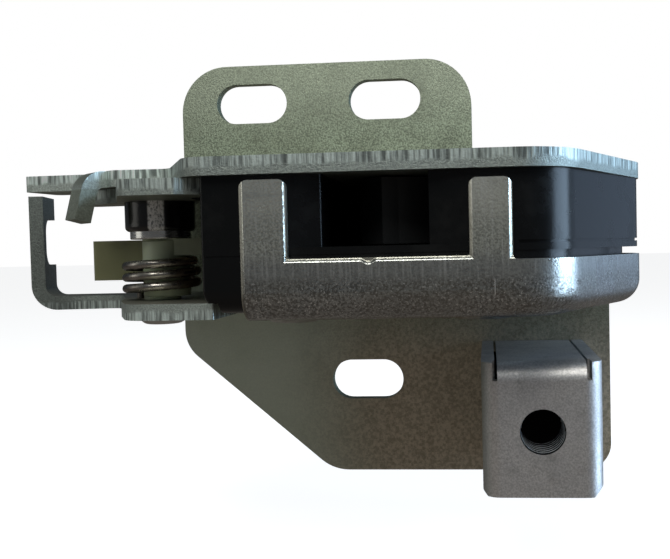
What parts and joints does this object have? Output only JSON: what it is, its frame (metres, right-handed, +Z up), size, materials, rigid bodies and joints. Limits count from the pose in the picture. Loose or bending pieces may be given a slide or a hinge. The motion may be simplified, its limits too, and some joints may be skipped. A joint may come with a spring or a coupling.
{
  "type": "van door lock",
  "caption": "Rotary claw latch for a van door: bolted sheet steel frame, moulded housing with a mouth for the striker, cable lever with a coil spring and a folded guide bracket.",
  "frame": {"origin": "midway between the two upper slots, on the back face of the mounting plate", "axes": "+X to the right of the mouth's face, +Y from the mouth towards the panel the plate is bolted to, +Z up"},
  "size_m": [0.1353, 0.058, 0.0938],
  "materials": {
    "zinc_plate": "satin",
    "zinc_frame": "satin",
    "zinc_cover": "satin",
    "zinc_lever": "satin",
    "claw_steel": "satin",
    "pin_steel": "satin",
    "bright_ring": "polished",
    "spring_steel": "oiled",
    "black_plastic": "semi-gloss",
    "black_gloss": "gloss",
    "claw_plastic": "semi-gloss",
    "olive_nylon": "satin",
    "stop_rubber": "matte"
  },
  "bodies": {
    "lock_body": {"mounting_plate": "zinc_plate", "frame_plate": "zinc_frame", "latch_housing": "black_plastic", "pressed_cover": "zinc_cover", "claw_pin": "pin_steel", "claw_spring": "spring_steel", "pawl_pin": "pin_steel", "pawl_spring": "spring_steel", "return_spring": "spring_steel", "lever_pin": "pin_steel", "cable_bracket": "zinc_lever", "guide_bracket": "zinc_frame", "weld_nut": "pin_steel", "bump_stop": "stop_rubber"},
    "claw": {"claw": "claw_steel", "claw_jacket": "claw_plastic"},
    "pawl": {"pawl": "claw_steel"},
    "release_levers": {"release_lever": "zinc_lever", "pivot_bush": "black_gloss", "pivot_washer": "bright_ring", "cable_lever": "olive_nylon"}
  },
  "joints": [
    {"name": "claw_turn", "type": "hinge", "parent": "lock_body", "child": "claw", "pos_m": [0.037, -0.029, -0.027], "axis": [0, 0, 1], "range_deg": [-16, 50]},
    {"name": "release_turn", "type": "hinge", "parent": "lock_body", "child": "release_levers", "pos_m": [-0.0268, -0.033, -0.03], "axis": [0, 0, 1], "range_deg": [0, 10], "deforming": ["return_spring"]},
    {"name": "pawl_turn", "type": "hinge", "parent": "lock_body", "child": "pawl", "pos_m": [0, -0.033, -0.027], "axis": [0, 0, 1], "range_deg": [0, 8.5]}
  ],
  "couplings": [
    {"joint": "pawl_turn", "follows": "release_turn", "ratio": 0.85}
  ]
}
